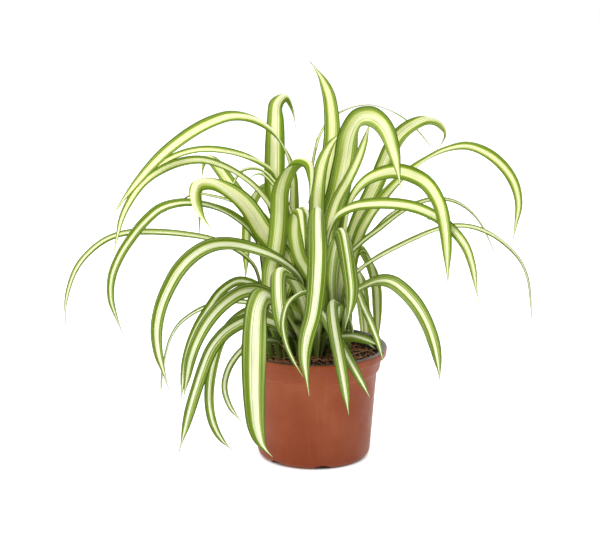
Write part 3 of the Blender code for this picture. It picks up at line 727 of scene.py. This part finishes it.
slots, size = geometry_tree("drain_slots", {
    "Count": "Int", "Start": "Float", "Ring Radius": "Float", "Width": "Float", "Height": "Float",
    "Depth": "Float", "Outer": "Material", "Inner": "Material"})
ring_points = slots.add("GeometryNodeMeshCircle", {
    "Vertices": size["Count"], "Radius": size["Ring Radius"]})
ring_points = slots.add("GeometryNodeTransform", {
    "Geometry": ring_points.outputs[0], "Rotation": slots.triple(z=size["Start"])}).outputs[0]
cutter = slots.add("GeometryNodeMeshCylinder", {
    "Vertices": 40, "Radius": slots.math("MULTIPLY", size["Width"], 0.5), "Depth": size["Depth"]})
flatten = slots.math("DIVIDE", size["Height"], slots.math("MULTIPLY", size["Width"], 0.5))
cutter = slots.add("GeometryNodeTransform", {
    "Geometry": cutter.outputs["Mesh"], "Scale": slots.triple(flatten, 1.0, 1.0),
    "Rotation": (0, math.pi / 2, 0)}).outputs[0]
number = slots.add("GeometryNodeInputIndex").outputs[0]
heading = slots.math("ADD", size["Start"], slots.math(
    "MULTIPLY", slots.math("DIVIDE", number, size["Count"]), 2 * math.pi))
cutters = slots.add("GeometryNodeInstanceOnPoints", {
    "Points": ring_points, "Instance": cutter, "Rotation": slots.triple(z=heading)}).outputs[0]
cutters = slots.add("GeometryNodeRealizeInstances", {"Geometry": cutters}).outputs[0]
cut = slots.add("GeometryNodeMeshBoolean", operation="DIFFERENCE", solver="EXACT")
slots.tree.links.new(size["Geometry"], cut.inputs["Mesh 1"])
slots.tree.links.new(cutters, cut.inputs["Mesh 2"])
shell = slots.add("GeometryNodeSetShadeSmooth", {"Geometry": cut.outputs["Mesh"]}).outputs[0]
shell = slots.add("GeometryNodeSetMaterial", {"Geometry": shell, "Material": size["Outer"]}).outputs[0]
is_inner = slots.add("GeometryNodeInputNamedAttribute", {"Name": "inner"}, data_type="FLOAT").outputs[0]
is_inner = slots.math("GREATER_THAN", is_inner, 0.5)
shell = slots.add("GeometryNodeSetMaterial", {
    "Geometry": shell, "Selection": is_inner, "Material": size["Inner"]}).outputs[0]
finish_tree(slots, shell)
print("slot tree has", len(slots.tree.nodes), "nodes")

# %% [markdown]
# ## The pot's finish
#
# Polypropylene is satin, a little waxy, and never quite even: the melt leaves faint clouds of
# colour and fine flow lines that run up the wall. Handling leaves scuffs, and watering leaves
# specks of peat round the rim and foot. Inside the drain slots the plastic is painted dark: painted
# shade for the recesses.
# The inner layer is dark grey with dried splashes of mix.

# %% The outer and inner plastic
TERRACOTTA = (0.270, 0.053, 0.011)
TERRACOTTA_DEEP = (0.200, 0.029, 0.001)
TERRACOTTA_PALE = (0.40, 0.115, 0.044)
POT_GREY = (0.060, 0.050, 0.045)
# peat stain colour: real specks and splashes, and also the painted shade inside the drain slots
PEAT_STAIN_AND_SLOT_SHADE = (0.045, 0.026, 0.016)
DRY_DUST = (0.20, 0.16, 0.13)
POT_STEPS = 160               # faces round the pot

outer_finish, plastic, shader = new_finish("terracotta_plastic", 0.40, 0.24)
spot = plastic.add("ShaderNodeTexCoord").outputs["Object"]
parts = plastic.add("ShaderNodeSeparateXYZ", {0: spot}).outputs
clouds = plastic.noise(spot, 28.0, 3.0)
colour = ramp(plastic, clouds, [(0.3, TERRACOTTA_DEEP), (0.5, TERRACOTTA), (0.72, TERRACOTTA_PALE)])
colour = mixed(plastic, 0.55, colour, TERRACOTTA)
# Painted shade: lower down, the wall is mixed towards the deep terracotta, darkest at the foot.
painted_low_shade = plastic.fade(parts["Z"], 0.0, 0.065, 0.6, 0.0)
colour = mixed(plastic, painted_low_shade, colour, TERRACOTTA_DEEP)
around = plastic.math("ARCTAN2", parts["Y"], parts["X"])
flow_place = plastic.triple(plastic.math("MULTIPLY", around, 22.0),
                            plastic.math("MULTIPLY", parts["Z"], 12.0))
flow = plastic.noise(flow_place, 1.0, 3.0)
colour = mixed(plastic, plastic.fade(flow, 0.55, 0.8, 0.0, 0.22), colour, TERRACOTTA_PALE)
specks = plastic.noise(spot, 700.0, 1.0)
near_ends = plastic.math("MAXIMUM", plastic.fade(parts["Z"], 0.0, 0.018, 1.0, 0.15),
                         plastic.fade(parts["Z"], 0.080, 0.092, 0.1, 1.0))
speck_mask = plastic.math("MULTIPLY", plastic.fade(specks, 0.70, 0.76), near_ends)
colour = mixed(plastic, speck_mask, colour, PEAT_STAIN_AND_SLOT_SHADE)
flat_spot = plastic.triple(parts["X"], parts["Y"])
axis_distance = plastic.add("ShaderNodeVectorMath", {0: flat_spot}, operation="LENGTH").outputs["Value"]
# Painted shade: the plastic inside the drain slots is painted nearly black.
painted_slot_shade = plastic.math("MULTIPLY", plastic.fade(axis_distance, 42.2 * MM, 41.6 * MM),
                       plastic.fade(parts["Z"], 4.2 * MM, 3.8 * MM))
colour = mixed(plastic, painted_slot_shade, colour, PEAT_STAIN_AND_SLOT_SHADE)
plastic.tree.links.new(colour, shader["Base Color"])
scuffs = plastic.noise(spot, 90.0, 5.0, 0.65)
plastic.tree.links.new(plastic.fade(scuffs, 0.3, 0.7, 0.34, 0.50), shader["Roughness"])
grain = plastic.noise(spot, 1500.0, 2.0)
relief = plastic.math("ADD", grain, plastic.math("MULTIPLY", flow, 1.5))
bump(plastic, shader, relief, 0.03 * MM, 0.6)

inner_finish, grey, shader = new_finish("grey_inner_plastic", 0.5, 0.5)
spot = grey.add("ShaderNodeTexCoord").outputs["Object"]
splash = grey.noise(spot, 320.0, 4.0, 0.7)
colour = mixed(grey, grey.fade(splash, 0.48, 0.60), POT_GREY, PEAT_STAIN_AND_SLOT_SHADE)
dust = grey.noise(spot, 900.0, 2.0)
colour = mixed(grey, grey.fade(dust, 0.62, 0.72, 0.0, 0.5), colour, DRY_DUST)
grey.tree.links.new(colour, shader["Base Color"])
bump(grey, shader, splash, 0.15 * MM, 0.7)

pot_turned = grown("pot_turned", profile_chain("pot", pot_profile), turning,
                   {"Steps": POT_STEPS, "Inner Row": inner_row})
faces_outward(pot_turned)
pot = grown("pot_shell", pot_turned.data, slots, {
    "Count": SLOT_COUNT, "Start": SLOT_START, "Ring Radius": SLOT_RING, "Width": SLOT_WIDTH,
    "Height": SLOT_HEIGHT, "Depth": SLOT_DEPTH, "Outer": outer_finish, "Inner": inner_finish})
bpy.data.objects.remove(pot_turned)
pot.data.set_sharp_from_angle(angle=math.radians(50))
take_place(pot, "pot")
print("pot has", len(pot.data.polygons), "faces")

# %% [markdown]
# ## The potting mix
#
# Peat mix is lumpy, nearly black when moist, and full of orange-brown coir fibres. The bed is
# turned like the pot and its top is pushed up and down by noise. Crumbs and fibres are then
# scattered over the top by a tree: crumbs are small angular lumps, and fibres are straight
# lines that noise bends, each in its own way because each lies in its own place. A fibre that
# would run into the wall is held back and lies along it.

# %% The bed of mix
MIX_GAP = 0.3                 # mm between the mix and the pot's floor
MIX_STEPS = 150               # faces round the bed
NO_INNER_ROW = 9999           # the bed has no grey inside
MIX_PROFILE = [  # radius and height in mm
    (0.0, BOTTOM + MIX_GAP), (41.2, BOTTOM + MIX_GAP), (44.4, 5.4), (49.8, STEP - 0.4),
    (52.0, STEP + 0.6), (BAND - WALL, 80.4), (50.5, 80.9), (45.0, 81.4), (37.0, 82.0), (0.0, 82.4)]
mix_points = filled([(radius * MM, height * MM) for radius, height in MIX_PROFILE], 1.6 * MM)
bed = grown("mix_bed", profile_chain("mix", mix_points), turning,
            {"Steps": MIX_STEPS, "Inner Row": NO_INNER_ROW})
faces_outward(bed)
print("bed of mix has", len(bed.data.polygons), "faces")

# %% The scatter tree
TOP_STARTS = 79.5 * MM        # faces above this height carry crumbs and fibres

scatter, size = geometry_tree("peat_scatter", {
    "Lumpiness": "Float", "Crumbs": "Float", "Crumb Size": "Float", "Fibres": "Float",
    "Fibre Length": "Float", "Fibre Radius": "Float", "Fibre Bend": "Float",
    "Fibre Reach": "Float", "Seed": "Int", "Finish": "Material"})
here = scatter.add("GeometryNodeInputPosition").outputs[0]
height_here = scatter.add("ShaderNodeSeparateXYZ", {0: here}).outputs["Z"]
is_top = scatter.fade(height_here, 79 * MM, 81 * MM)
lumps = scatter.math("SUBTRACT", scatter.noise(here, 210.0, 4.0, 0.6), 0.5)
lumps = scatter.math("MULTIPLY", scatter.math("MULTIPLY", lumps, is_top), size["Lumpiness"])
ground = scatter.add("GeometryNodeSetPosition", {
    "Geometry": size["Geometry"], "Offset": scatter.triple(z=lumps)}).outputs[0]
top_only = scatter.math("GREATER_THAN", height_here, TOP_STARTS)


def strewn(density, seed_step):
    """Points strewn over the top of the bed."""
    seed_here = scatter.math("ADD", size["Seed"], seed_step)
    node = scatter.add("GeometryNodeDistributePointsOnFaces", {
        "Mesh": ground, "Selection": top_only, "Density": density, "Seed": seed_here})
    return node.outputs["Points"]


def chance(low, high, seed_here, data_type="FLOAT"):
    """A random value for each point."""
    outputs = {"FLOAT": 1, "FLOAT_VECTOR": 0}
    node = scatter.add("FunctionNodeRandomValue", data_type=data_type)
    for socket in node.inputs:
        if socket.enabled and socket.name in ("Min", "Max"):
            socket.default_value = low if socket.name == "Min" else high
        if socket.enabled and socket.name == "Seed":
            socket.default_value = seed_here
    return node.outputs[outputs[data_type]]


def tinted(geometry, value, domain):
    """Geometry that carries a tint for the finish to read."""
    return scatter.add("GeometryNodeStoreNamedAttribute", {
        "Geometry": geometry, "Name": "tint", "Value": value}, data_type="FLOAT", domain=domain).outputs[0]


lump = scatter.add("GeometryNodeMeshIcoSphere", {"Radius": 1.0, "Subdivisions": 1})
lump = lump.outputs["Mesh"]
lump_place = scatter.add("GeometryNodeInputPosition").outputs[0]
lump_push = scatter.math("ADD", scatter.noise(lump_place, 1.3, 2.0), 0.35)
lump = scatter.add("GeometryNodeSetPosition", {
    "Geometry": lump, "Position": scatter.scaled(lump_place, lump_push)}).outputs[0]
crumb_points = strewn(size["Crumbs"], 0.0)
crumb_size = scatter.math("MULTIPLY", size["Crumb Size"],
                          scatter.math("POWER", chance(0.25, 1.0, 11), 2.2))
crumbs = scatter.add("GeometryNodeInstanceOnPoints", {
    "Points": crumb_points, "Instance": lump,
    "Rotation": chance((0.0, 0.0, 0.0), (6.28, 6.28, 6.28), 12, "FLOAT_VECTOR"),
    "Scale": scatter.scaled(chance((0.6, 0.6, 0.4), (1.3, 1.3, 0.9), 13, "FLOAT_VECTOR"), crumb_size),
}).outputs[0]
crumbs = tinted(crumbs, chance(0.0, 0.62, 14), "INSTANCE")
crumbs = scatter.add("GeometryNodeRealizeInstances", {"Geometry": crumbs}).outputs[0]

line = scatter.add("GeometryNodeCurvePrimitiveLine", {
    "Start": scatter.triple(x=scatter.math("MULTIPLY", size["Fibre Length"], -0.5)),
    "End": scatter.triple(x=scatter.math("MULTIPLY", size["Fibre Length"], 0.5))}).outputs[0]
line = scatter.add("GeometryNodeResampleCurve", {"Curve": line, "Count": 11}).outputs[0]
fibres = scatter.add("GeometryNodeInstanceOnPoints", {
    "Points": strewn(size["Fibres"], 7.0), "Instance": line,
    "Rotation": chance((-0.15, -0.22, 0.0), (0.15, 0.1, 6.28), 22, "FLOAT_VECTOR"),
    "Scale": scatter.triple(chance(0.3, 1.0, 23), 1.0, 1.0)}).outputs[0]
fibres = tinted(fibres, chance(0.66, 1.0, 24), "INSTANCE")
fibres = scatter.add("GeometryNodeRealizeInstances", {"Geometry": fibres}).outputs[0]
bend_place = scatter.add("GeometryNodeInputPosition").outputs[0]
bend = scatter.add("ShaderNodeTexNoise", {
    "Vector": bend_place, "Scale": 75.0, "Detail": 1.0}).outputs["Color"]
bend = scatter.vector("MULTIPLY", scatter.vector("SUBTRACT", bend, (0.5, 0.5, 0.28)),
                      (1.0, 1.0, 0.35))
bent = scatter.add("ShaderNodeSeparateXYZ", {
    0: scatter.vector("ADD", bend_place, scatter.scaled(bend, size["Fibre Bend"]))}).outputs
bent_flat = scatter.triple(bent["X"], bent["Y"])
from_axis = scatter.add("ShaderNodeVectorMath", {0: bent_flat}, operation="LENGTH").outputs["Value"]
held_in = scatter.math("MINIMUM", 1.0, scatter.math("DIVIDE", size["Fibre Reach"], from_axis))
held = scatter.vector("ADD", scatter.scaled(bent_flat, held_in), scatter.triple(z=bent["Z"]))
fibres = scatter.add("GeometryNodeSetPosition", {"Geometry": fibres, "Position": held}).outputs[0]
strand = scatter.add("GeometryNodeCurvePrimitiveCircle", {
    "Resolution": 4, "Radius": size["Fibre Radius"]})
fibres = scatter.add("GeometryNodeCurveToMesh", {
    "Curve": fibres, "Profile Curve": strand.outputs[0], "Fill Caps": True}).outputs[0]
joined = scatter.add("GeometryNodeJoinGeometry")
for part in (fibres, crumbs):
    scatter.tree.links.new(part, joined.inputs[0])
loose = scatter.add("GeometryNodeSetMaterial", {
    "Geometry": joined.outputs[0], "Material": size["Finish"]}).outputs[0]
ground = scatter.add("GeometryNodeSetMaterial", {
    "Geometry": ground, "Material": size["Finish"]}).outputs[0]
together = scatter.add("GeometryNodeJoinGeometry")
for part in (loose, ground):
    scatter.tree.links.new(part, together.inputs[0])
smooth = scatter.add("GeometryNodeSetShadeSmooth", {"Geometry": together.outputs[0]}).outputs[0]
finish_tree(scatter, smooth)
print("scatter tree has", len(scatter.tree.nodes), "nodes")

# %% [markdown]
# The mix's finish reads the tint that each crumb or fibre carries: the bed and most crumbs are
# nearly black, a few crumbs are red-brown bark, and the fibres run from rust to straw.

# %% The finish of the mix, and scatter it
PEAT_TINTS = [(0.0, (0.016, 0.010, 0.007)), (0.30, (0.030, 0.017, 0.011)),
              (0.50, (0.060, 0.028, 0.016)), (0.62, (0.11, 0.050, 0.026)),
              (0.70, (0.46, 0.17, 0.065)), (1.0, (0.70, 0.40, 0.22))]
DAMP_BROWN = (0.075, 0.042, 0.026)
CRUMBS_PER_M2, FIBRES_PER_M2 = 260000.0, 30000.0
FIBRE_REACH = 52.4 * MM       # from the pot's axis: just inside the wall

mix_finish, peat, shader = new_finish("peat_and_coir", 0.9, 0.3)
spot = peat.add("ShaderNodeTexCoord").outputs["Object"]
tint = stored(peat, "tint")
colour = ramp(peat, tint, PEAT_TINTS)
damp = peat.noise(spot, 900.0, 4.0, 0.7)
colour = mixed(peat, peat.fade(damp, 0.4, 0.75, 0.0, 0.55), colour, DAMP_BROWN)
peat.tree.links.new(colour, shader["Base Color"])
peat.tree.links.new(peat.fade(damp, 0.3, 0.7, 0.72, 0.98), shader["Roughness"])
bump(peat, shader, damp, 0.5 * MM, 0.8)

mix = grown("potting_mix_bed", bed.data, scatter, {
    "Lumpiness": 3.4 * MM, "Crumbs": CRUMBS_PER_M2, "Crumb Size": 1.9 * MM, "Fibres": FIBRES_PER_M2,
    "Fibre Length": 25 * MM, "Fibre Radius": 0.38 * MM, "Fibre Bend": 9 * MM,
    "Fibre Reach": FIBRE_REACH, "Seed": 5, "Finish": mix_finish})
bpy.data.objects.remove(bed)
take_place(mix, "potting_mix")
print("mix has", len(mix.data.polygons), "faces")

# %% [markdown]
# ## Floor and light
#
# A white sweep of floor and an even white room light the plant from all round, which is what
# makes the satin plastic pale towards its edges. One large soft lamp above and to the left gives
# the leaves their direction, and a weaker one behind rims them. The floor gives off a little
# light, so that it stays white, but not under the pot, where it would light the drain slots.

# %% Floor, room and lamps
floor_mesh = bpy.data.meshes.new("studio_floor")
FLOOR_HALF = 16.0
FLOOR_GLOW = 0.62
GLOW_FROM, GLOW_FULL = 41 * MM, 47 * MM    # from the pot's axis
ROOM_LIGHT = 0.42
corners = [(-FLOOR_HALF, -FLOOR_HALF, 0), (FLOOR_HALF, -FLOOR_HALF, 0),
           (FLOOR_HALF, FLOOR_HALF, 0), (-FLOOR_HALF, FLOOR_HALF, 0)]
floor_mesh.from_pydata(corners, [], [(0, 1, 2, 3)])
floor = bpy.data.objects.new("studio_floor", floor_mesh)
bpy.context.scene.collection.objects.link(floor)
floor_finish, sweep, shader = new_finish("studio_white", 0.8, 0.2)
spot = sweep.add("ShaderNodeTexCoord").outputs["Object"]
from_pot = sweep.add("ShaderNodeVectorMath", {0: spot}, operation="LENGTH").outputs["Value"]
glow = sweep.fade(from_pot, GLOW_FROM, GLOW_FULL, 0.0, FLOOR_GLOW)
sweep.tree.links.new(glow, shader["Emission Strength"])
shader["Base Color"].default_value = (0.86, 0.86, 0.86, 1)
shader["Emission Color"].default_value = (1, 1, 1, 1)
floor_mesh.materials.append(floor_finish)

room = bpy.data.worlds.new("studio_room")
room.use_nodes = True
room.node_tree.nodes["Background"].inputs["Color"].default_value = (1, 1, 1, 1)
room.node_tree.nodes["Background"].inputs["Strength"].default_value = ROOM_LIGHT
bpy.context.scene.world = room


def soft_lamp(name, place, size_here, watts):
    """A large square lamp that faces the middle of the plant."""
    data = bpy.data.lights.new(name, "AREA")
    data.size = size_here
    data.energy = watts
    lamp = bpy.data.objects.new(name, data)
    lamp.location = place
    toward = np.array(VIEW_AIM) - np.array(place)
    yaw = math.atan2(toward[1], toward[0]) - math.pi / 2
    pitch = math.atan2(np.hypot(toward[0], toward[1]), -toward[2])
    lamp.rotation_euler = (pitch, 0, yaw)
    bpy.context.scene.collection.objects.link(lamp)


soft_lamp("top", (-0.2, -0.2, 1.7), 1.4, 17)
soft_lamp("key", (-1.0, -1.3, 1.1), 0.8, 13)
soft_lamp("back", (0.5, 1.3, 0.9), 0.9, 9)
bpy.context.scene.view_settings.view_transform = "Standard"
print("floor, room and lamps are in place")
